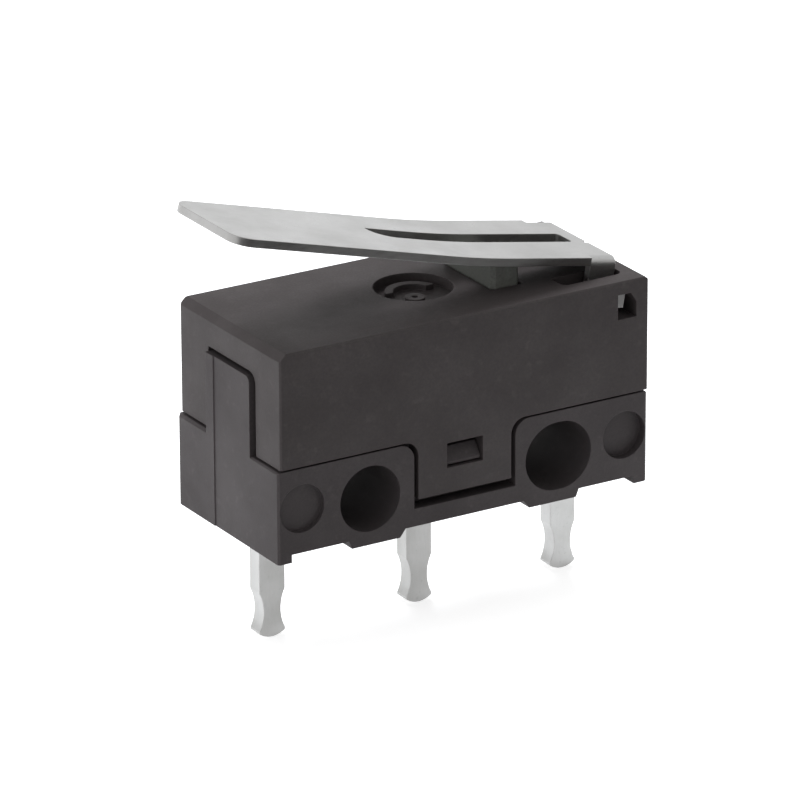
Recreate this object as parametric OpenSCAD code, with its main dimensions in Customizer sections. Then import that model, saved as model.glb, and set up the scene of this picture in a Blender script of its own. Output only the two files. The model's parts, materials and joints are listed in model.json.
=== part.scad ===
// Subminiature lever micro switch with three in-line solder pins.
// X runs along the body towards the lever's hinge, Y to the back, Z up.
// The origin is mid-body, on the plane of the feet that seat on the board.

/* [Body] */
// Length of the body
body_l = 12.8; // [12:0.1:15.4]
// Depth of the body, front to back
body_w = 5.8; // [5.7:0.1:7]
// Height of the body above the board
body_h = 6.5; // [6.4:0.1:7.8]
// Height of the joint between base and cover
joint_z = 2.9; // [2.8:0.05:3.2]
// Width of the open joint line
joint_gap = 0.06; // [0.04:0.01:0.12]
// How far the cover's left end is set in from the base
end_inset = 0.13; // [0:0.01:0.2]
// Bevel along the top of the cover's left end
end_bevel = 0.22; // [0.05:0.01:0.4]
// Small bevel on the other outer edges of the cover
edge_bevel = 0.05; // [0.02:0.01:0.1]
// Bevel on the upright corners of the base
corner_bevel = 0.09; // [0.05:0.01:0.2]

/* [Walls] */
// Side walls of the cover
side_wall = 0.6; // [0.5:0.05:0.7]
// End walls of the cover
end_wall = 0.6; // [0.5:0.05:0.7]
// Top wall of the cover
top_wall = 0.6; // [0.5:0.05:0.7]
// Wall of the base's inner rim
rim_wall = 0.35; // [0.25:0.05:0.45]
// Height of the base's inner rim
rim_h = 0.4; // [0.2:0.05:0.6]

/* [Clearances] */
// Between moulded pieces that seat in each other
mould_fit = 0.03; // [0.02:0.01:0.06]
// Between a pressed or moulded-in metal piece and its seat
insert_fit = 0.01; // [0.005:0.005:0.02]
// Around the plunger in its hole
slide_fit = 0.05; // [0.03:0.01:0.08]
// Between pieces that rest on each other when the switch is free
rest_fit = 0.02; // [0.01:0.01:0.03]

/* [Feet and mounting holes] */
// Height of the feet under the base
foot_h = 0.25; // [0.15:0.01:0.35]
// Length of an end foot
end_foot = 0.48; // [0.3:0.02:0.6]
// Length of a foot under a mounting hole, on the board
hole_foot = 1.64; // [1.2:0.02:1.9]
// Slope at each side of a foot under a mounting hole
foot_slope = 0.2; // [0.05:0.01:0.3]
// Distance between the two mounting holes
hole_pitch = 6.5; // [6.2:0.1:6.8]
// Height of the mounting holes
hole_z = 1.45; // [1.4:0.01:1.5]
// Diameter of the round hole, on the left
hole_d = 2.05; // [1.8:0.01:2.1]
// Height of the slotted hole, on the right
slot_h = 2.14; // [1.9:0.01:2.2]
// Length of the slotted hole
slot_l = 2.3; // [2.2:0.01:2.4]

/* [Marks on the base] */
// Distance of the round recesses from the middle
mark_x = 5.56; // [5.4:0.02:5.6]
// Height of the round recesses
mark_z = 1.63; // [1.5:0.01:1.8]
// Diameter of the round recesses
mark_d = 1.5; // [1.2:0.02:1.52]
// Depth of the left recess
mark_depth_left = 0.18; // [0.05:0.01:0.3]
// Depth of the right recess
mark_depth_right = 0.3; // [0.05:0.01:0.4]

/* [Latch] */
// Width of the cover's latch tab
tab_w = 3.2; // [2.6:0.05:3.4]
// Height of the tab's lower edge
tab_z = 1.08; // [1:0.02:1.3]
// Thickness of the tab
tab_t = 0.5; // [0.4:0.02:0.6]
// Open groove beside the tab
groove_w = 0.15; // [0.08:0.01:0.2]
// Open groove below the tab
groove_h = 0.28; // [0.15:0.01:0.35]
// Radius where the tab's groove turns into the joint line
groove_r = 0.48; // [0.2:0.02:0.6]
// Width of the latch window
latch_w = 1.24; // [0.9:0.02:1.6]
// Height of the latch window
latch_h = 0.78; // [0.6:0.02:0.8]
// Web of the tab below the window
latch_web = 0.78; // [0.5:0.02:0.8]
// Height of the latch nub
nub_h = 0.47; // [0.3:0.01:0.5]

/* [End tongues] */
// Back side of the tongues, from the middle
tongue_back = 1.2; // [1:0.02:1.3]
// Front side of the tongues, from the middle
tongue_front = 1.29; // [1.1:0.01:1.35]
// Top of the left tongue below the cover's top
tongue_down = 1.15; // [1:0.05:1.8]
// Thickness of the tongues
tongue_t = 0.75; // [0.65:0.01:0.8]
// Open slot in front of the left tongue
tongue_gap_front = 0.2; // [0.1:0.01:0.6]
// Open slot above the tongues
tongue_gap_top = 0.14; // [0.1:0.01:0.3]
// Corner radius of the slot in the cover
tongue_r = 0.35; // [0.2:0.01:0.4]
// Step where two halves of the base's mould meet
mould_step = 0.03; // [0.01:0.01:0.05]

/* [Top of the cover] */
// Diameter of the round gate recess
gate_d = 2.4; // [1.8:0.05:2.6]
// Depth of the gate recess
gate_depth = 0.3; // [0.15:0.01:0.35]
// Length of the pockets for the lever's ears
pocket_l = 2.1; // [1.9:0.05:2.2]
// Room outside each ear
pocket_out = 0.32; // [0.2:0.01:0.35]
// Room inside each ear
pocket_in = 0.15; // [0.1:0.01:0.2]
// Wall between a pocket and the contact chamber
pocket_wall = 0.35; // [0.25:0.01:0.4]
// Depth of the pockets below the cover's top
pocket_depth = 1.35; // [1.3:0.01:1.4]

/* [Pins] */
// Distance between neighbouring pins
pin_pitch = 5.08; // [5:0.02:5.1]
// Width of a pin
pin_w = 0.87; // [0.7:0.01:0.95]
// Thickness of a pin
pin_t = 0.54; // [0.4:0.01:0.6]
// Length of a pin below the board's face
pin_l = 3.45; // [2.5:0.05:4.5]
// Height of the arc at a pin's tip
pin_tip_h = 0.15; // [0.05:0.01:0.25]
// Height of the pin's waist above its tip
waist_up = 0.84; // [0.8:0.02:1.2]
// Depth of the waist on each side
waist_in = 0.15; // [0.05:0.01:0.2]
// Radius of the waist
waist_r = 1.4; // [1:0.05:1.5]

/* [Lever] */
// Thickness of the lever's sheet
lever_t = 0.25; // [0.2:0.01:0.3]
// Width of the lever
lever_w = 3.9; // [3.5:0.05:4]
// Tilt of the lever's root above the cover when free
lever_tilt = 10.5; // [8:0.1:11]
// Upward bend between the lever's root and its blade
lever_bend = 4.5; // [1:0.1:8]
// Outer radius of that bend
bend_r = 30; // [10:1:32]
// Length of the root, from the hinge to the bend
root_l = 4.58; // [4:0.02:5.5]
// Length of the lever's blade beyond the bend
blade_l = 8.54; // [5:0.02:12]
// Radius at the corners of the lever's tip
tip_r = 0.6; // [0.2:0.05:1]
// Width of the long slot in the lever
lever_slot_w = 0.84; // [0.5:0.02:1]
// Middle of the lever's slot, behind the lever's centre line
lever_slot_y = 0.12; // [-0.2:0.01:0.2]
// Length of the lever's slot beyond the bend
lever_slot_out = 2.64; // [1:0.02:3]
// Lever material between the slot and the hinge end
lever_bridge = 0.5; // [0.3:0.02:0.7]
// Distance of the hinge from the right end of the body
hinge_in = 0.9; // [0.8:0.02:1]
// Distance of the hinge below the cover's top
hinge_down = 0.65; // [0.6:0.01:0.7]
// Air between the pressed lever and the cover's top
lever_air = 0.19; // [0.1:0.01:0.3]
// Length of an ear
ear_l = 0.89; // [0.7:0.01:1]
// How far an ear reaches towards the right of the hinge
ear_right = 0.18; // [0.15:0.01:0.2]
// How far an ear reaches below the hinge
ear_down = 0.4; // [0.3:0.01:0.45]
// Outer bend radius of an ear
ear_r = 0.27; // [0.26:0.01:0.4]
// Thickness of the pivot tabs, along the body
pivot_l = 0.25; // [0.2:0.01:0.3]
// Height of the pivot tabs
pivot_h = 0.42; // [0.3:0.01:0.44]
// Distance of the pivot tabs' ends inside the cover's faces
pivot_end_in = 0.15; // [0.05:0.01:0.25]

/* [Plunger] */
// Distance of the plunger from the hinge
plunger_arm = 3.15; // [3.1:0.01:3.3]
// Length of the plunger along the body
plunger_l = 0.97; // [0.8:0.01:1.1]
// Width of the plunger, front to back
plunger_w = 2.8; // [2.2:0.05:3]
// Radius of the plunger's crown
crown_r = 1.2; // [1:0.05:2]
// Collar that keeps the plunger in the cover
collar_out = 0.2; // [0.15:0.01:0.25]
// Height of the collar
collar_h = 0.42; // [0.3:0.01:0.45]

/* [Contact spring] */
// Thickness of the contact spring
spring_t = 0.08; // [0.05:0.01:0.1]
// Width of the contact spring
spring_w = 2; // [1.8:0.05:2.1]
// Height of the contact spring above the joint
spring_up = 1.7; // [1.65:0.01:1.75]
// Width of the window between the spring's legs
window_w = 0.96; // [0.9:0.01:1.1]
// Width of the spring's bowed tongue
bow_w = 0.72; // [0.6:0.01:0.8]
// Length of the bowed tongue
bow_l = 2.8; // [2.6:0.02:2.9]
// Height of the bowed tongue
bow_h = 0.62; // [0.5:0.01:0.7]
// Swing of the contact spring between its two contacts
swing = 2; // [1:0.1:2.5]

/* [Contacts] */
// Distance of the contacts from the left pin
contact_in = 0.88; // [0.8:0.01:1]
// Diameter of the contact heads
contact_d = 0.84; // [0.6:0.02:0.9]
// Diameter of the contacts' shanks
shank_d = 0.4; // [0.3:0.02:0.5]
// Height of a head of the moving contact
head_h = 0.22; // [0.15:0.01:0.3]
// Thickness of the formed contact plates
plate_t = 0.35; // [0.25:0.01:0.4]
// Height of the fixed contacts' heads
fixed_head_h = 0.28; // [0.2:0.01:0.3]

/* [Hidden] */
$fn = 96;
cut = 0.5;          // how far a cutting shape runs past what it cuts
lap = 0.01;         // how far joined shapes run into each other

left_x = -body_l / 2;
right_x = body_l / 2;
front_y = -body_w / 2;
base_top = joint_z - joint_gap / 2;
cover_z = joint_z + joint_gap / 2;
cover_left = left_x + end_inset;

room_y = body_w / 2 - side_wall;
room_left = cover_left + end_wall;
room_right = right_x - end_wall;
room_top = body_h - top_wall;

hinge_x = right_x - hinge_in;
hinge_z = body_h - hinge_down;
plate_z = hinge_down + lever_air;           // underside of the lever's root above the hinge
ear_room = 0.1;                             // open room to the right of an ear
pocket_x = hinge_x + ear_right + hinge_down * sin(lever_tilt) + ear_room;
pocket_y = lever_w / 2 + pocket_out;        // outer wall of an ear pocket
pocket_y_in = lever_w / 2 - lever_t - pocket_in;
pocket_x0 = pocket_x - pocket_l;
pocket_z = body_h - pocket_depth;
pocket_wall_z = pocket_z - pocket_wall;
tongue_top = body_h - tongue_down;
short_tongue_top = pocket_wall_z - tongue_gap_top;      // the right tongue ends under the pockets

plunger_x = hinge_x - plunger_arm;
// Height of the lever's underside over the plunger, for a tilt of the root
function lever_under(tilt) = hinge_z + plate_z / cos(tilt) + plunger_arm * tan(tilt);
// Height of a crown that touches the lever at that tilt
function crown_top(tilt) = lever_under(tilt) - crown_r / cos(tilt) + crown_r;
plunger_top = crown_top(lever_tilt) - rest_fit;

pin_x = [-pin_pitch, 0, pin_pitch];
spring_z = joint_z + spring_up;             // middle of the spring's sheet
contact_x = pin_x[0] + contact_in;
bow_left = plunger_x - bow_l / 2;
bow_right = plunger_x + bow_l / 2;
post_w = 0.35;
post_gap = 0.3;
notch_deep = 0.1;
post_b = bow_right - notch_deep + rest_fit;             // left side of the tongue's post
post_a = post_b + post_w + post_gap;                    // left side of the legs' post
spring_hinge_x = post_a + post_w - notch_deep + rest_fit;
spring_end = spring_hinge_x + 0.38;         // the legs are joined behind the post
arm = spring_hinge_x - contact_x;
contact_gap = arm * sin(swing) + insert_fit;            // open gap to the lower contact
moving_low = spring_z - spring_t / 2 - head_h;
moving_high = spring_z + spring_t / 2 + head_h;
no_face = moving_low - contact_gap;
nc_face = moving_high + insert_fit;
no_plate_top = no_face - fixed_head_h;
nc_plate_low = nc_face + fixed_head_h;
no_plate_half = 0.5;                                    // half width of the lower contact's plate
no_step_x = contact_x + 0.75;                           // where that plate steps up
bed_gap = 0.1;
metal_z = base_top + insert_fit;                        // where formed metal lies on the base

// A quarter disc's complement, to take off or fill a square corner at the origin
module corner(r) {
    difference() {
        square(r);
        translate([r, r]) circle(r);
    }
}

// A rectangle from one corner to the opposite one
module rect(x0, y0, x1, y1) {
    translate([x0, y0]) square([x1 - x0, y1 - y0]);
}

// A rectangle with 45-degree bevels at its four corners
module bevelled(x0, y0, x1, y1, b) {
    polygon([[x0 + b, y0], [x1 - b, y0], [x1, y0 + b], [x1, y1 - b],
             [x1 - b, y1], [x0 + b, y1], [x0, y1 - b], [x0, y0 + b]]);
}

// Extrudes a front view (X right, Y up) along the body's depth, from y0 to y1
module deep(y0, y1) {
    translate([0, y1, 0]) rotate([90, 0, 0]) linear_extrude(y1 - y0) children();
}

// Extrudes an end view (X to the back, Y up) along the body's length, from x0 to x1
module along(x0, x1) {
    translate([x0, 0, 0]) rotate([90, 0, 90]) linear_extrude(x1 - x0) children();
}

module box(x0, x1, y0, y1, z0, z1) {
    translate([x0, y0, z0]) cube([x1 - x0, y1 - y0, z1 - z0]);
}

// A round bar along Y
module bar(x, z, d, y0, y1) {
    translate([x, y1, z]) rotate([90, 0, 0]) cylinder(d = d, h = y1 - y0);
}

// Front view of the latch tab, with the fillets at its root
module tab_outline() {
    half = tab_w / 2;
    rect(-half, tab_z, half, cover_z + edge_bevel);
    for (side = [-1, 1])
        scale([side, 1]) translate([half, cover_z]) scale([1, -1]) corner(groove_r);
}

// Front view of the room that the base leaves for a tab
module tab_room() {
    half = tab_w / 2 + groove_w;
    rect(-half, tab_z - groove_h, half, base_top + cut);
    for (side = [-1, 1])
        scale([side, 1]) translate([half, base_top]) scale([1, -1]) corner(groove_r);
}

// End view of the slot in the cover's end, around a tongue of the base
module tongue_slot(front_gap, top) {
    y0 = -tongue_front - front_gap;
    y1 = tongue_back + mould_fit;
    z1 = top + tongue_gap_top;
    difference() {
        rect(y0, cover_z - cut, y1, z1);
        translate([y0, z1]) scale([1, -1]) corner(tongue_r);
    }
}

// Plan of an ear pocket, for the front or the back
module pocket_plan() {
    r = 0.25;
    difference() {
        rect(pocket_x0, pocket_y_in, pocket_x, pocket_y);
        translate([pocket_x, pocket_y]) scale([-1, -1]) corner(r);
        translate([pocket_x0, pocket_y]) scale([1, -1]) corner(r);
    }
}

module cover_body() {
    intersection() {
        deep(front_y, -front_y) polygon([
            [cover_left, cover_z], [right_x, cover_z],
            [right_x, body_h - 2 * edge_bevel], [right_x - 2 * edge_bevel, body_h],
            [cover_left + end_bevel, body_h], [cover_left, body_h - end_bevel]]);
        along(cover_left, right_x) polygon([
            [front_y, cover_z], [-front_y, cover_z],
            [-front_y, body_h - edge_bevel], [-front_y - edge_bevel, body_h],
            [front_y + edge_bevel, body_h], [front_y, body_h - edge_bevel]]);
        translate([0, 0, cover_z]) linear_extrude(body_h)
            bevelled(cover_left, front_y, right_x, -front_y, edge_bevel);
    }
    for (side = [-1, 1])
        scale([1, side, 1]) deep(front_y, front_y + tab_t) tab_outline();
}

// The chamber for the contacts, with the ear pockets' walls left standing in it
module cover_room() {
    wall_x = pocket_x0 - pocket_wall;
    wall_y = pocket_y_in - pocket_wall;
    difference() {
        box(room_left, room_right, -room_y, room_y, cover_z - cut, room_top);
        for (side = [-1, 1])
            scale([1, side, 1]) box(wall_x, right_x, wall_y, room_y + cut, pocket_wall_z, body_h);
    }
}

// The window that the lever's pivot tab turns in, narrower at its top right
module pivot_window() {
    window_l = 0.65;
    window_h = 0.78;
    x0 = hinge_x - 0.18;
    z1 = hinge_z + 0.25;
    deep(front_y - cut, -pocket_y + cut / 2) polygon([
        [x0, z1 - window_h], [x0 + window_l, z1 - window_h], [x0 + window_l, z1 - 0.3],
        [x0 + window_l - 0.2, z1], [x0, z1]]);
}

// A moulding gate's mark: a nub with a dimple, and a ring segment behind it
module gate_mark() {
    floor_z = body_h - gate_depth;
    nub_h = 0.2;
    nub_r = 0.3;
    dimple_r = 0.1;
    dimple_depth = 0.15;
    ring_h = 0.17;
    ring_r = 0.85;
    ring_in = 0.6;
    ring_front = 0.2;
    translate([-0.25, -0.5, floor_z - lap]) difference() {
        cylinder(r = nub_r, h = nub_h + lap);
        translate([0, 0, nub_h + lap - dimple_depth]) cylinder(r = dimple_r, h = dimple_depth + cut);
    }
    translate([0, 0, floor_z - lap]) difference() {
        cylinder(r = ring_r, h = ring_h + lap);
        translate([0, 0, -cut]) cylinder(r = ring_in, h = ring_h + 2 * cut);
        translate([-ring_r, -2 * ring_r + ring_front, -cut]) cube([2 * gate_d, 2 * ring_r, 2 * cut]);
    }
}

module cover() {
    color("#3a3637") {
        difference() {
            cover_body();
            cover_room();
            along(left_x - cut, room_left + lap) tongue_slot(tongue_gap_front, tongue_top);
            along(room_right - lap, right_x + cut) tongue_slot(mould_fit, short_tongue_top);
            translate([plunger_x, 0, room_top - cut]) linear_extrude(top_wall + 2 * cut)
                bevelled(-plunger_l / 2 - slide_fit, -plunger_w / 2 - slide_fit,
                         plunger_l / 2 + slide_fit, plunger_w / 2 + slide_fit, edge_bevel);
            translate([0, 0, body_h - gate_depth]) cylinder(d = gate_d, h = gate_depth + cut);
            for (side = [-1, 1]) scale([1, side, 1]) {
                translate([0, 0, pocket_z]) linear_extrude(pocket_depth + cut) pocket_plan();
                pivot_window();
                deep(front_y - cut, front_y + tab_t + cut)
                    rect(-latch_w / 2, tab_z + latch_web, latch_w / 2, tab_z + latch_web + latch_h);
            }
        }
        gate_mark();
    }
}

// Front view of the base: feet, belly and the bevelled shoulders under the joint
module base_outline() {
    foot_x = hole_pitch / 2 - 0.19;      // these feet sit a little inside their holes
    shoulder = 0.08;
    rect(left_x, foot_h, right_x, base_top - shoulder);
    polygon([[left_x, base_top - shoulder - lap], [right_x, base_top - shoulder - lap],
             [right_x, base_top - shoulder], [right_x - shoulder, base_top],
             [left_x + shoulder, base_top], [left_x, base_top - shoulder]]);
    for (side = [-1, 1]) scale([side, 1]) {
        rect(right_x - end_foot, 0, right_x, foot_h + lap);
        translate([foot_x, 0]) polygon([
            [-hole_foot / 2, 0], [hole_foot / 2, 0],
            [hole_foot / 2 + foot_slope / 2, foot_h + lap],
            [-hole_foot / 2 - foot_slope, foot_h + lap]]);
    }
}

// The nub on the base that the latch window snaps over: sloped above, flat below
module latch_nub() {
    side_gap = 0.04;
    sunk = 0.1;
    lip = 0.08;
    slope = 0.28;
    half = latch_w / 2 - side_gap;
    z0 = tab_z + latch_web + rest_fit + side_gap;
    y0 = front_y + tab_t + mould_fit + lip;
    y1 = front_y + sunk;
    along(-half, half) polygon([[y0, z0], [y1, z0], [y1, z0 + lip],
                                [y1 + slope, z0 + nub_h], [y0, z0 + nub_h]]);
}

module mounting_holes() {
    half = (slot_l - slot_h) / 2;
    bar(-hole_pitch / 2, hole_z, hole_d, front_y - cut, -front_y + cut);
    deep(front_y - cut, -front_y + cut) translate([hole_pitch / 2, hole_z]) {
        for (side = [-1, 1]) translate([side * half, 0]) circle(d = slot_h);
        square([2 * half, slot_h], center = true);
    }
}

// Tongue of the base that closes an end of the cover, from the belly to its top
module tongue(z1) {
    root = 0.4;
    top_r = 0.2;
    along(right_x - tongue_t, right_x) difference() {
        rect(-tongue_front, base_top - root, tongue_back, z1);
        translate([-tongue_front, z1]) scale([1, -1]) corner(top_r);
    }
}

module base() {
    step_from_back = 0.44;
    color("#383433") difference() {
        union() {
            intersection() {
                deep(front_y, -front_y) base_outline();
                linear_extrude(body_h) bevelled(left_x, front_y, right_x, -front_y, corner_bevel);
            }
            rim();
            scale([-1, 1, 1]) tongue(tongue_top);
            tongue(short_tongue_top);
            contact_bed();
            for (side = [-1, 1]) scale([1, side, 1]) latch_nub();
        }
        for (side = [-1, 1]) scale([1, side, 1])
            difference() {
                deep(front_y - cut, front_y + tab_t + mould_fit) tab_room();
                latch_nub();
            }
        // the mould's two halves meet on the left end, in a step from the feet to the tongue's top
        box(left_x - cut, left_x + mould_step, front_y - cut, tongue_back - step_from_back, -cut, body_h);
        mounting_holes();
        for (x = pin_x) pin_seat(x);
        bar(-mark_x, mark_z, mark_d, front_y - cut, front_y + mark_depth_left);
        bar(mark_x, mark_z, mark_d, front_y - cut, front_y + mark_depth_right);
    }
}

// Rim that centres the cover on the base
module rim() {
    root = 0.1;
    x0 = room_left + mould_fit;
    x1 = room_right - mould_fit;
    y1 = room_y - mould_fit;
    difference() {
        box(x0, x1, -y1, y1, base_top - root, base_top + rim_h);
        box(x0 + rim_wall, x1 - rim_wall, -y1 + rim_wall, y1 - rim_wall, 0, body_h);
    }
}

// Bed that carries the normally-open contact's plate
module contact_bed() {
    root = 0.1;
    box(contact_x - no_plate_half, no_step_x - bed_gap, -no_plate_half - root, no_plate_half + root,
        base_top - root, no_plate_top - plate_t - insert_fit);
}

// Slot that a pin is moulded into, with a shallow well around it on the underside
module pin_seat(x) {
    well = 0.1;
    box(x - pin_w / 2 - insert_fit, x + pin_w / 2 + insert_fit,
        -pin_t / 2 - insert_fit, pin_t / 2 + insert_fit, -cut, body_h);
    box(x - pin_w / 2 - well, x + pin_w / 2 + well, -pin_t / 2 - well, pin_t / 2 + well, -cut, foot_h + well);
}

// A pin from its tip to height z1, with its waist and its tip's arc
module pin(x, z1) {
    arc_r = (pow(pin_w / 2, 2) + pow(pin_tip_h, 2)) / (2 * pin_tip_h);
    deep(-pin_t / 2, pin_t / 2) translate([x, -pin_l]) difference() {
        union() {
            rect(-pin_w / 2, pin_tip_h, pin_w / 2, pin_l + z1);
            intersection() {
                rect(-pin_w / 2, 0, pin_w / 2, pin_tip_h + lap);
                translate([0, arc_r]) circle(arc_r);
            }
        }
        for (side = [-1, 1])
            translate([side * (pin_w / 2 - waist_in + waist_r), waist_up]) circle(waist_r);
    }
}

// The common terminal: its pin, a bar along the base, and a notched post for
// the spring's legs and one for its bowed tongue
module com_terminal() {
    bar_top = metal_z + plate_t;
    post_top = spring_z + post_gap;
    color("#b9b9b7") {
        pin(pin_x[2], bar_top);
        deep(-pin_t / 2, pin_t / 2) difference() {
            union() {
                rect(min(post_b, pin_x[2] - pin_w / 2), metal_z,
                     max(post_a + post_w, pin_x[2] + pin_w / 2), bar_top);
                rect(post_b, metal_z, post_b + post_w, post_top);
                rect(post_a, metal_z, post_a + post_w, post_top);
            }
            notch(post_b, 1);
            notch(post_a + post_w, -1);
        }
    }
}

// A notch that opens at x and runs into the post in direction side
module notch(x, side) {
    mouth = 0.17;
    floor_h = 0.1;
    translate([x, spring_z]) scale([side, 1]) polygon([
        [-lap, -mouth], [notch_deep, -floor_h], [notch_deep, floor_h], [-lap, mouth]]);
}

// The normally-open terminal: its pin and a plate that steps up under the spring's tip
module no_terminal() {
    color("#b9b9b7") difference() {
        union() {
            pin(pin_x[1], metal_z + plate_t);
            deep(-no_plate_half, no_plate_half) {
                rect(no_step_x, metal_z, pin_x[1] + pin_w / 2, metal_z + plate_t);
                rect(no_step_x, metal_z, no_step_x + plate_t, no_plate_top);
                rect(contact_x - no_plate_half, no_plate_top - plate_t,
                     no_step_x + plate_t, no_plate_top);
            }
        }
        rivet_hole(no_plate_top - plate_t);
    }
}

// The normally-closed terminal: its pin, an upright, and a plate over the spring's tip
module nc_terminal() {
    half = 0.6;
    upright = 0.46;
    x0 = pin_x[0] - pin_w / 2;
    color("#b9b9b7") difference() {
        union() {
            pin(pin_x[0], base_top - plate_t);
            deep(-pin_t / 2, pin_t / 2)
                rect(x0, base_top - plate_t, x0 + upright, nc_plate_low + plate_t);
            box(x0, contact_x + half, -half, half, nc_plate_low, nc_plate_low + plate_t);
        }
        rivet_hole(nc_plate_low);
    }
}

module rivet_hole(z) {
    translate([contact_x, 0, z - cut / 2]) cylinder(d = shank_d + 2 * insert_fit, h = plate_t + cut);
}

// A contact rivet: a round head with a fine bevel, and a shank that runs from the head
module rivet(face_z, head, shank, up) {
    bevel = 0.05;
    translate([contact_x, 0, face_z]) scale([1, 1, up]) {
        cylinder(d1 = contact_d - 2 * bevel, d2 = contact_d, h = bevel);
        translate([0, 0, bevel]) cylinder(d = contact_d, h = head - bevel);
        translate([0, 0, head - bevel]) cylinder(d = shank_d, h = shank + bevel);
    }
}

module no_contact() {
    color("#cfcac2") rivet(no_face, fixed_head_h - insert_fit, plate_t + insert_fit, -1);
}

module nc_contact() {
    color("#cfcac2") rivet(nc_face, fixed_head_h - insert_fit, plate_t + insert_fit, 1);
}

// The moving contact is a double-headed rivet through the spring's tip
module moving_contact() {
    color("#cfcac2") {
        rivet(moving_low, head_h - insert_fit, spring_t / 2 + 2 * insert_fit, 1);
        rivet(moving_high, head_h - insert_fit, spring_t / 2 + 2 * insert_fit, -1);
    }
}

// The one-piece contact spring: a plate that carries the contact, two legs that hook
// on the common terminal's far post, and a bowed tongue that pushes on its near post
module contact_spring() {
    tip = contact_x - contact_d / 2 - 0.03;
    tip_half = 0.55;
    taper_x = bow_left - 0.6;
    bow_lap = 0.02;
    r = (pow(bow_l / 2, 2) + pow(bow_h, 2)) / (2 * bow_h);
    color("#b98a5a") {
        translate([0, 0, spring_z - spring_t / 2]) linear_extrude(spring_t) difference() {
            polygon([[tip, -tip_half], [taper_x, -spring_w / 2], [spring_end, -spring_w / 2],
                     [spring_end, spring_w / 2], [taper_x, spring_w / 2], [tip, tip_half]]);
            rect(bow_left, -window_w / 2, spring_hinge_x, window_w / 2);
            translate([contact_x, 0]) circle(d = shank_d + 2 * insert_fit);
        }
        deep(-bow_w / 2, bow_w / 2) intersection() {
            translate([plunger_x, spring_z + bow_h - r]) difference() {
                circle(r + spring_t / 2);
                circle(r - spring_t / 2);
            }
            rect(bow_left - bow_lap, spring_z - spring_t / 2, bow_right, spring_z + 2 * bow_h);
        }
    }
}

module plunger() {
    collar_top = room_top - rest_fit;
    foot_z = spring_z + bow_h + spring_t / 2 + rest_fit;
    half_l = plunger_l / 2;
    half_w = plunger_w / 2;
    upright_bevel = 0.12;
    foot_l = 0.4;
    color("#3d3b38") {
        intersection() {
            translate([plunger_x, 0, collar_top - collar_h]) linear_extrude(body_h)
                bevelled(-half_l, -half_w, half_l, half_w, upright_bevel);
            union() {
                bar(plunger_x, plunger_top - crown_r, 2 * crown_r, -half_w, half_w);
                box(plunger_x - half_l, plunger_x + half_l, -half_w, half_w, 0, plunger_top - crown_r);
            }
        }
        box(plunger_x - half_l - collar_out, plunger_x + half_l + collar_out,
            -half_w - collar_out, half_w + collar_out, collar_top - collar_h, collar_top);
        box(plunger_x - foot_l / 2, plunger_x + foot_l / 2, -bow_w / 2, bow_w / 2,
            foot_z, collar_top - collar_h + lap);
    }
}

// End view of the lever's root with its ears bent down
module ear_channel() {
    half = lever_w / 2;
    top = plate_z + lever_t;
    difference() {
        rect(-half, -ear_down, half, top);
        for (side = [-1, 1]) scale([side, 1]) translate([-half, top]) scale([1, -1]) corner(ear_r);
        difference() {
            rect(-half + lever_t, -ear_down - cut, half - lever_t, plate_z);
            for (side = [-1, 1])
                scale([side, 1]) translate([-half + lever_t, plate_z]) scale([1, -1])
                    corner(ear_r - lever_t);
        }
    }
}

// A point of the bend's arc, by its radius and its share of the bend
function bend_point(r, share) =
    [-root_l + bend_r * tan(lever_bend / 2), plate_z + bend_r]
    - r * [sin(share * lever_bend), cos(share * lever_bend)];

// A corner of the blade's tip, by its height in the sheet
function blade_end(z) = [-root_l - blade_l * cos(lever_bend) + z * sin(lever_bend),
                         plate_z + blade_l * sin(lever_bend) + z * cos(lever_bend)];

// Front view of the lever's sheet: the root from x, the bend's arc and the blade
module sheet_profile(x) {
    steps = 6;
    polygon(concat([[x, plate_z]],
                   [for (i = [0 : steps]) bend_point(bend_r, i / steps)],
                   [blade_end(0), blade_end(lever_t)],
                   [for (i = [steps : -1 : 0]) bend_point(bend_r - lever_t, i / steps)],
                   [[x, plate_z + lever_t]]));
}

// The lever with its hinge at the origin and its root level
module lever_flat() {
    half = lever_w / 2;
    x_end = ear_right;
    ear_x = ear_right - ear_l;
    arc_r = 0.3;
    end_r = 0.15;
    end_notch_y = 0.3;
    end_notch_r = 0.13;
    difference() {
        union() {
            difference() {
                deep(-half, half) sheet_profile(ear_x + lap);
                translate([-root_l, 0, plate_z]) rotate([0, lever_bend, 0]) translate([-blade_l, 0, -cut])
                    linear_extrude(lever_t + 2 * cut) for (side = [-1, 1])
                        scale([1, side]) translate([0, -half]) difference() {
                            translate([-cut, -cut]) square(tip_r + cut);
                            translate([tip_r, tip_r]) circle(tip_r);
                        }
            }
            intersection() {
                along(ear_x, x_end) ear_channel();
                deep(-half - cut, half + cut) difference() {
                    rect(ear_x, -ear_down, x_end, plate_z + lever_t);
                    translate([ear_x, -ear_down]) corner(arc_r);
                    translate([x_end, -ear_down]) scale([-1, 1]) corner(end_r);
                }
            }
            for (side = [-1, 1]) scale([1, side, 1])
                box(-pivot_l / 2, pivot_l / 2, front_y + pivot_end_in, -half + lap,
                    -pivot_h / 2, pivot_h / 2);
        }
        lever_slot(x_end);
        translate([x_end, -end_notch_y, plate_z - cut]) cylinder(r = end_notch_r, h = lever_t + 2 * cut);
    }
}

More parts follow.
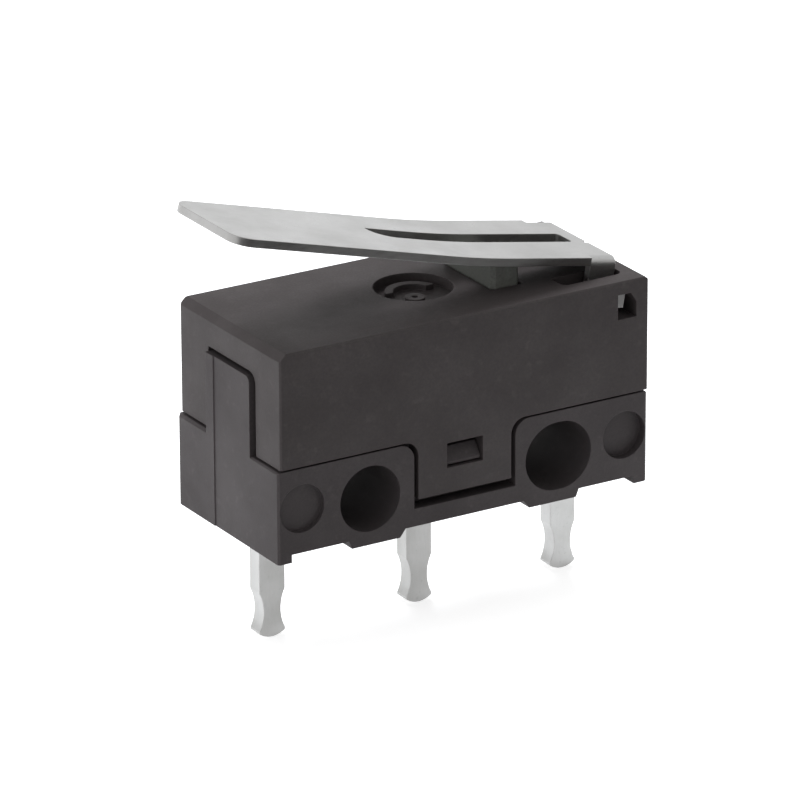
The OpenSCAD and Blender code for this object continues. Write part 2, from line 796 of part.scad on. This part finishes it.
// The long slot: straight at the back, swept to a point at its front left
module lever_slot(x_end) {
    x0 = -root_l - lever_slot_out;
    x1 = x_end - lever_bridge;
    y0 = lever_slot_y - lever_slot_w / 2;
    y1 = lever_slot_y + lever_slot_w / 2;
    r = 0.12;
    rise = lever_slot_out * tan(lever_bend);        // the blade stands this much above the root
    translate([0, 0, plate_z - cut]) linear_extrude(rise + lever_t + 2 * cut) difference() {
        rect(x0, y0, x1, y1);
        translate([x0, y0]) corner(lever_slot_w - r);
        translate([x1, y0]) scale([-1, 1]) corner(r);
        translate([x1, y1]) scale([-1, -1]) corner(r);
    }
}

module lever() {
    color("#c6c6c4") translate([hinge_x, 0, hinge_z]) rotate([0, lever_tilt, 0]) lever_flat();
}

cover();
base();
plunger();
lever();
com_terminal();
no_terminal();
nc_terminal();
contact_spring();
moving_contact();
no_contact();
nc_contact();
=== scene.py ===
import json
import math

import bpy
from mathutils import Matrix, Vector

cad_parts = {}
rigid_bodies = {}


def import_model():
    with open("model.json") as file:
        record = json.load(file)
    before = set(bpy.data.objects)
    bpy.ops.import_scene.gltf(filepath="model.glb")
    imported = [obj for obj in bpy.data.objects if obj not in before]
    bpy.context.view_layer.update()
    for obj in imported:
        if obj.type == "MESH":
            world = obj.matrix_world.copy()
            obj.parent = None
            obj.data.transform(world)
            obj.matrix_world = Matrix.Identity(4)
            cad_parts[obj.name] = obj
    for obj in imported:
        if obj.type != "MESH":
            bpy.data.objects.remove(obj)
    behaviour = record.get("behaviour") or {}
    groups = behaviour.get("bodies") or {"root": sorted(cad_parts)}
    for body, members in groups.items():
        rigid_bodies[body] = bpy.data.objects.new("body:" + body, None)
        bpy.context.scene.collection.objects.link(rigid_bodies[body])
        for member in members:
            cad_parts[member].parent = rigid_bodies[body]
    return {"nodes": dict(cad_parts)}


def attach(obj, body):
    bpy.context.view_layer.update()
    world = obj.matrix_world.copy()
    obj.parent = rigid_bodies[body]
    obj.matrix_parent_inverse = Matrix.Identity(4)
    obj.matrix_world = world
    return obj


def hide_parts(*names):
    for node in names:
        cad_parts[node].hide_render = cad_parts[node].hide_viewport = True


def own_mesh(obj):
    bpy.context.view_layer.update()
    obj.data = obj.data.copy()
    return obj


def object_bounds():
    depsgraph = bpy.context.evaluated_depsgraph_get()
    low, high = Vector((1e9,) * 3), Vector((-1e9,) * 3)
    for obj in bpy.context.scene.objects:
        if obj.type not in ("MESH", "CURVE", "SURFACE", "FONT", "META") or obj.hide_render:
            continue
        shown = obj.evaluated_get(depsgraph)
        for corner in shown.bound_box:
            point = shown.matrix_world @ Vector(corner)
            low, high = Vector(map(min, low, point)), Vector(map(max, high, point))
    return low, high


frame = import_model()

cad_box = [list(corner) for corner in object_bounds()]
nodes = frame["nodes"]


# Base: the lower half of the body, moulded in a dark, glass-filled plastic, with the feet, the two
# mounting holes and the tongues that close the cover's ends. Its spark-eroded mould leaves a fine
# grain and a dull sheen, the melt leaves faint lighter clouds, and the edges carry a painted
# highlight, paler along their rounds.
def new_group(name, inputs, outputs):
    group = bpy.data.node_groups.new(name, "ShaderNodeTree")
    for socket, kind in inputs.items():
        group.interface.new_socket(socket, in_out="INPUT", socket_type="NodeSocket" + kind)
    for socket, kind in outputs.items():
        group.interface.new_socket(socket, in_out="OUTPUT", socket_type="NodeSocket" + kind)
    return group


def noise(tree, place, scale, detail, roughness=0.5):
    texture = tree.nodes.new("ShaderNodeTexNoise")
    texture.inputs["Scale"].default_value = scale
    texture.inputs["Detail"].default_value = detail
    texture.inputs["Roughness"].default_value = roughness
    tree.links.new(place, texture.inputs["Vector"])
    return texture.outputs["Fac"]


# Stretches the range that a value is in to the range that is wanted.
def spread(tree, value, given, wanted=(0.0, 1.0)):
    ramp = tree.nodes.new("ShaderNodeMapRange")
    ramp.inputs["From Min"].default_value = given[0]
    ramp.inputs["From Max"].default_value = given[1]
    ramp.inputs["To Min"].default_value = wanted[0]
    ramp.inputs["To Max"].default_value = wanted[1]
    tree.links.new(value, ramp.inputs["Value"])
    return ramp.outputs["Result"]


def work_out(tree, operation, first, second=0.0):
    step = tree.nodes.new("ShaderNodeMath")
    step.operation = operation
    for socket, value in zip(step.inputs, (first, second)):
        if isinstance(value, (int, float)):
            socket.default_value = value
        else:
            tree.links.new(value, socket)
    return step.outputs["Value"]


def blend(tree, factor, first, second, kind="MIX"):
    mix = tree.nodes.new("ShaderNodeMix")
    mix.data_type = "RGBA"
    mix.blend_type = kind
    for socket, value in (("Factor", factor), ("A", first), ("B", second)):
        if isinstance(value, (int, float, tuple)):
            mix.inputs[socket].default_value = value
        else:
            tree.links.new(value, mix.inputs[socket])
    return mix.outputs["Result"]


def tint(tree, color, times):
    return blend(tree, 1.0, color, (*times, 1), "MULTIPLY")


def dim(tree, color, factor):
    shade = tree.nodes.new("ShaderNodeVectorMath")
    shade.operation = "SCALE"
    tree.links.new(color, shade.inputs[0])
    tree.links.new(factor, shade.inputs["Scale"])
    return shade.outputs["Vector"]


# The grain of the mould, the clouds of the melt and a little dust in the grain.
def moulded_grain():
    group = new_group("moulded_grain",
                      {"Color": "Color", "Cloud": "Color", "Roughness": "Float"},
                      {"Color": "Color", "Roughness": "Float", "Height": "Float"})
    given = group.nodes.new("NodeGroupInput").outputs
    out = group.nodes.new("NodeGroupOutput").inputs
    place = group.nodes.new("ShaderNodeTexCoord").outputs["Object"]
    grain = noise(group, place, scale=14000, detail=3, roughness=0.6)
    flow = noise(group, place, scale=420, detail=5, roughness=0.55)
    dust = noise(group, place, scale=3200, detail=2)

    cloudy = spread(group, flow, (0.38, 0.68))
    color = blend(group, cloudy, given["Color"], given["Cloud"])
    grain_tone = spread(group, grain, (0.3, 0.7), (0.86, 1.14))
    dust_tone = spread(group, dust, (0.6, 0.8), (1, 1.25))
    tone = work_out(group, "MULTIPLY", grain_tone, dust_tone)
    group.links.new(dim(group, color, tone), out["Color"])

    grain_sheen = spread(group, grain, (0.3, 0.7), (-0.08, 0.08))
    flow_sheen = spread(group, flow, (0.3, 0.7), (0.05, -0.05))
    sheen = work_out(group, "ADD", grain_sheen, flow_sheen)
    group.links.new(work_out(group, "ADD", given["Roughness"], sheen), out["Roughness"])

    dust_height = work_out(group, "MULTIPLY", dust, 0.4)
    group.links.new(work_out(group, "ADD", grain, dust_height), out["Height"])
    return group


# Every mould and every press leaves a small round on an edge. The group gives the normal on that
# round, and a mask that is 0 on a flat face and 1 on the round. The materials use the mask to paint
# a highlight on the round.
def edge_rounds():
    group = new_group("edge_rounds", {"Radius": "Float"}, {"Normal": "Vector", "Mask": "Float"})
    given = group.nodes.new("NodeGroupInput").outputs
    out = group.nodes.new("NodeGroupOutput").inputs
    round_off = group.nodes.new("ShaderNodeBevel")
    round_off.samples = 6
    group.links.new(given["Radius"], round_off.inputs["Radius"])
    face = group.nodes.new("ShaderNodeNewGeometry")
    turn = group.nodes.new("ShaderNodeVectorMath")
    turn.operation = "DOT_PRODUCT"
    group.links.new(round_off.outputs["Normal"], turn.inputs[0])
    group.links.new(face.outputs["Normal"], turn.inputs[1])
    group.links.new(spread(group, turn.outputs["Value"], (0.999, 0.88)), out["Mask"])
    group.links.new(round_off.outputs["Normal"], out["Normal"])
    return group


grain_group = moulded_grain()
edge_group = edge_rounds()


def new_material(name):
    material = bpy.data.materials.new(name)
    material.use_nodes = True
    return material, material.node_tree, material.node_tree.nodes["Principled BSDF"].inputs


def add_group(tree, group):
    node = tree.nodes.new("ShaderNodeGroup")
    node.node_tree = group
    return node


def round_edges(tree, radius):
    edges = add_group(tree, edge_group)
    edges.inputs["Radius"].default_value = radius
    return edges.outputs


def raise_grain(tree, shader, height, normal, strength, depth):
    bump = tree.nodes.new("ShaderNodeBump")
    bump.inputs["Strength"].default_value = strength
    bump.inputs["Distance"].default_value = depth
    tree.links.new(height, bump.inputs["Height"])
    tree.links.new(normal, bump.inputs["Normal"])
    tree.links.new(bump.outputs["Normal"], shader["Normal"])


def moulded_plastic(name, color, cloud, roughness, gloss, grain_depth, edge_radius):
    material, tree, shader = new_material(name)
    surface = add_group(tree, grain_group)
    surface.inputs["Color"].default_value = (*color, 1)
    surface.inputs["Cloud"].default_value = (*cloud, 1)
    surface.inputs["Roughness"].default_value = roughness
    edges = round_edges(tree, edge_radius)
    # painted highlight: the colour is lighter on the edge rounds, where light catches them
    painted_edge_highlight = tint(tree, surface.outputs["Color"], (1.35, 1.33, 1.33))
    shade = blend(tree, edges["Mask"], surface.outputs["Color"], painted_edge_highlight)
    tree.links.new(shade, shader["Base Color"])
    tree.links.new(surface.outputs["Roughness"], shader["Roughness"])
    shader["Specular IOR Level"].default_value = gloss
    raise_grain(tree, shader, surface.outputs["Height"], edges["Normal"], strength=0.7, depth=grain_depth)
    return material


def finish_node(name, material):
    mesh = nodes[name].data
    mesh.materials.clear()
    mesh.materials.append(material)


# painted light: the base's colour is a little lighter than the cover's, to brighten its shaded front
finish_node("base", moulded_plastic(
    "base_plastic",
    color=(0.047, 0.040, 0.041),
    cloud=(0.056, 0.048, 0.049),
    roughness=0.62,
    gloss=0.3,
    grain_depth=3e-6,
    edge_radius=3e-5))


# Cover: the upper half of the body, of the same plastic from another mould. Its colour is a little darker
# than the base's, whose colour is lifted as painted light to brighten the base's shaded front.
# It snaps over two nubs on the base, and the lever's tabs turn in its windows.
finish_node("cover", moulded_plastic(
    "cover_plastic",
    color=(0.045, 0.038, 0.038),
    cloud=(0.054, 0.046, 0.046),
    roughness=0.6,
    gloss=0.3,
    grain_depth=3e-6,
    edge_radius=3e-5))


# Plunger: the small button under the lever, in a slippery grade that is lighter and smoother than
# the body and has a faint green cast. The lever's rubbing keeps its grain shallow.
finish_node("plunger", moulded_plastic(
    "plunger_plastic",
    color=(0.11, 0.113, 0.102),
    cloud=(0.13, 0.133, 0.12),
    roughness=0.45,
    gloss=0.35,
    grain_depth=1.5e-6,
    edge_radius=5e-5))


# Lever: one strip of spring steel, blanked, pierced and bent, with two ears and two pivot tabs.
# The rolled faces have a fine grain along the strip. The sheared edges are duller, and their darker colour
# is painted shade.
def rolled_metal():
    group = new_group("rolled_metal",
                      {"Color": "Color", "Stain": "Color", "Roughness": "Float", "Grain": "Vector"},
                      {"Color": "Color", "Roughness": "Float", "Height": "Float"})
    given = group.nodes.new("NodeGroupInput").outputs
    out = group.nodes.new("NodeGroupOutput").inputs
    place = group.nodes.new("ShaderNodeTexCoord").outputs["Object"]
    along = group.nodes.new("ShaderNodeVectorMath")
    along.operation = "MULTIPLY"
    group.links.new(place, along.inputs[0])
    group.links.new(given["Grain"], along.inputs[1])
    lines = noise(group, along.outputs["Vector"], scale=2200, detail=4, roughness=0.65)
    patches = noise(group, place, scale=600, detail=4, roughness=0.6)
    specks = noise(group, place, scale=9000, detail=2)

    stained = spread(group, patches, (0.4, 0.72))
    color = blend(group, stained, given["Color"], given["Stain"])
    line_tone = spread(group, lines, (0.3, 0.7), (0.95, 1.05))
    speck_tone = spread(group, specks, (0.35, 0.2), (1, 0.85))
    tone = work_out(group, "MULTIPLY", line_tone, speck_tone)
    group.links.new(dim(group, color, tone), out["Color"])

    line_sheen = spread(group, lines, (0.3, 0.7), (-0.07, 0.07))
    patch_sheen = spread(group, patches, (0.3, 0.7), (-0.05, 0.05))
    sheen = work_out(group, "ADD", line_sheen, patch_sheen)
    group.links.new(work_out(group, "ADD", given["Roughness"], sheen), out["Roughness"])

    speck_height = work_out(group, "MULTIPLY", specks, 0.3)
    group.links.new(work_out(group, "ADD", lines, speck_height), out["Height"])
    return group


metal_group = rolled_metal()


# A mask that is 0 on the rolled faces, which look along the given axis, and 1 on the sheared ones.
def sheared_faces(tree, rolled_axis):
    face = tree.nodes.new("ShaderNodeNewGeometry")
    turn = tree.nodes.new("ShaderNodeVectorMath")
    turn.operation = "DOT_PRODUCT"
    turn.inputs[1].default_value = rolled_axis
    tree.links.new(face.outputs["True Normal"], turn.inputs[0])
    return spread(tree, work_out(tree, "ABSOLUTE", turn.outputs["Value"]), (0.8, 0.6))


def sheet_metal(name, color, stain, roughness, grain, grain_depth, edge_radius,
                rolled_axis=None, sheared_painted_shade=None, sheared_roughness=None):
    material, tree, shader = new_material(name)
    surface = add_group(tree, metal_group)
    surface.inputs["Color"].default_value = (*color, 1)
    surface.inputs["Stain"].default_value = (*stain, 1)
    surface.inputs["Roughness"].default_value = roughness
    surface.inputs["Grain"].default_value = grain
    shade = surface.outputs["Color"]
    dullness = surface.outputs["Roughness"]
    if rolled_axis:
        sheared = sheared_faces(tree, rolled_axis)
        # painted shade: the side faces' colour is darkened; the added roughness is the sheared edges' real
        # dullness
        shade = blend(tree, sheared, shade, tint(tree, shade, sheared_painted_shade))
        duller = work_out(tree, "MULTIPLY", sheared, sheared_roughness)
        dullness = work_out(tree, "ADD", dullness, duller)
    edges = round_edges(tree, edge_radius)
    # painted highlight: the metal's colour is lighter on the edge rounds, where light catches them
    painted_rim_highlight = tint(tree, shade, (1.25, 1.25, 1.25))
    tree.links.new(blend(tree, edges["Mask"], shade, painted_rim_highlight), shader["Base Color"])
    tree.links.new(dullness, shader["Roughness"])
    shader["Metallic"].default_value = 1
    raise_grain(tree, shader, surface.outputs["Height"], edges["Normal"], strength=0.5, depth=grain_depth)
    return material


finish_node("lever", sheet_metal(
    "lever_steel",
    color=(0.47, 0.47, 0.467),
    stain=(0.43, 0.43, 0.425),
    roughness=0.36,
    grain=(1, 9, 9),
    grain_depth=1.2e-6,
    edge_radius=3.5e-5,
    rolled_axis=(0, 0, 1),
    sheared_painted_shade=(0.8, 0.79, 0.78),
    sheared_roughness=0.04))


# Terminals: three brass pins, blanked, swaged at the waist and dipped in dull tin. Their grain
# runs down the pin.
tin = sheet_metal(
    "terminal_tin",
    color=(0.47, 0.47, 0.465),
    stain=(0.42, 0.42, 0.41),
    roughness=0.42,
    grain=(5, 5, 1),
    grain_depth=2e-6,
    edge_radius=5e-5)
for name in ("com_terminal", "no_terminal", "nc_terminal"):
    finish_node(name, tin)


# Contacts: three silver rivets, bright where they are headed. One rides on the spring's tip, and
# it snaps between the two fixed ones.
silver = sheet_metal(
    "contact_silver",
    color=(0.72, 0.70, 0.66),
    stain=(0.60, 0.57, 0.50),
    roughness=0.3,
    grain=(1, 1, 1),
    grain_depth=1e-6,
    edge_radius=3e-5)
for name in ("moving_contact", "no_contact", "nc_contact"):
    finish_node(name, silver)


# Contact spring: a copper alloy strip, rolled thin and stamped out with its bowed tongue. The
# plunger flattens the tongue. The spring here is a smooth-shaded copy of the exact one, and it rides
# on the contact arm.
copper = sheet_metal(
    "spring_copper",
    color=(0.62, 0.36, 0.20),
    stain=(0.52, 0.28, 0.15),
    roughness=0.33,
    grain=(1, 9, 9),
    grain_depth=1e-6,
    edge_radius=2e-5)
spring = nodes["contact_spring"].copy()
spring.data = nodes["contact_spring"].data.copy()
spring.name = "snap_spring"
bpy.context.collection.objects.link(spring)
spring.data.materials.clear()
spring.data.materials.append(copper)
bpy.ops.object.select_all(action="DESELECT")
bpy.context.view_layer.objects.active = spring
spring.select_set(True)
bpy.ops.object.parent_clear(type="CLEAR_KEEP_TRANSFORM")
bpy.ops.object.mode_set(mode="EDIT")
bpy.ops.mesh.select_all(action="SELECT")
bpy.ops.mesh.remove_doubles(threshold=1e-7)
bpy.ops.mesh.dissolve_limited(angle_limit=math.radians(0.5))
bpy.ops.object.mode_set(mode="OBJECT")
bpy.ops.object.shade_smooth_by_angle(angle=math.radians(30))
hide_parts("contact_spring")
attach(spring, "contact_arm")
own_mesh(spring)


# Floor and room: white paper under the pins' tips, in a white room. The camera and the metal see
# both at full brightness, and they light the switch less than that, so that the lamps model it.
floor_z = cad_box[0][2]
bpy.ops.mesh.primitive_plane_add(size=1.2, location=(0, 0, floor_z))
floor = bpy.context.object
floor.name = "floor"
paper, tree, shader = new_material("floor_paper")
shader["Base Color"].default_value = (0.8, 0.8, 0.8, 1)
shader["Roughness"].default_value = 1
shader["Specular IOR Level"].default_value = 0
shader["Emission Color"].default_value = (1, 1, 1, 1)
rays = tree.nodes.new("ShaderNodeLightPath").outputs
seen = work_out(tree, "MAXIMUM", rays["Is Camera Ray"], rays["Is Glossy Ray"])
paper_glow = 0.7
tree.links.new(work_out(tree, "MULTIPLY", seen, paper_glow), shader["Emission Strength"])
floor.data.materials.append(paper)

world = bpy.data.worlds.new("room")
scene = bpy.context.scene
scene.world = world
world.use_nodes = True
tree = world.node_tree
room = tree.nodes["Background"].inputs
room["Color"].default_value = (1, 1, 1, 1)
rays = tree.nodes.new("ShaderNodeLightPath").outputs
mirrored = work_out(tree, "MAXIMUM", rays["Is Glossy Ray"], rays["Is Transmission Ray"])
seen = work_out(tree, "MAXIMUM", rays["Is Camera Ray"], mirrored)
lighting = 0.55
full = 1
tree.links.new(spread(tree, seen, (0, 1), (lighting, full)), room["Strength"])


# Lamps: a big soft lamp above and behind, and a weaker one on the left, both aimed at the switch.
# The metal shows the white room and not a glaring lamp.
def lamp(name, place, size, power):
    bpy.ops.object.light_add(type="AREA", location=place)
    light = bpy.context.object
    light.name = name
    light.data.shape = "DISK"
    light.data.size = size
    light.data.energy = power
    light.data.color = (0.93, 0.96, 1)
    tilt = math.atan2(math.hypot(place[0], place[1]), place[2])
    turn = math.atan2(place[1], place[0]) + math.pi / 2
    light.rotation_euler = (tilt, 0, turn)
    light.visible_glossy = False


lamp("key", place=(0.12, 0.34, 0.42), size=0.25, power=2.9)
lamp("left", place=(-0.5, 0.05, 0.12), size=0.3, power=0.7)


# Dark card: it stands in front, out of the picture, and only reflections see it. It darkens the
# metal's front edges.
bpy.ops.mesh.primitive_plane_add(size=1, location=(0.01, -0.014, 0.006), rotation=(math.radians(90), 0, 0))
card = bpy.context.object
card.name = "dark_card"
card.scale = (0.1, 0.016, 1)
black, tree, shader = new_material("black_card")
shader["Base Color"].default_value = (0.02, 0.018, 0.018, 1)
shader["Roughness"].default_value = 0.9
card.data.materials.append(black)
card.visible_camera = False
card.visible_diffuse = False
card.visible_shadow = False


# Camera: a long lens in front of the switch's left end and a little above it, so that the front,
# the left end and the lever's top all show and hardly narrow with distance.
bpy.ops.object.camera_add(location=(-0.103486, -0.169967, 0.079798),
                          rotation=(math.radians(68.878), math.radians(0.195), math.radians(-31.295)))
camera = bpy.context.object
camera.name = "camera"
camera.data.lens = 323.7
camera.data.sensor_width = 36
camera.data.clip_start = 0.01
scene.camera = camera
scene.view_settings.view_transform = "Standard"
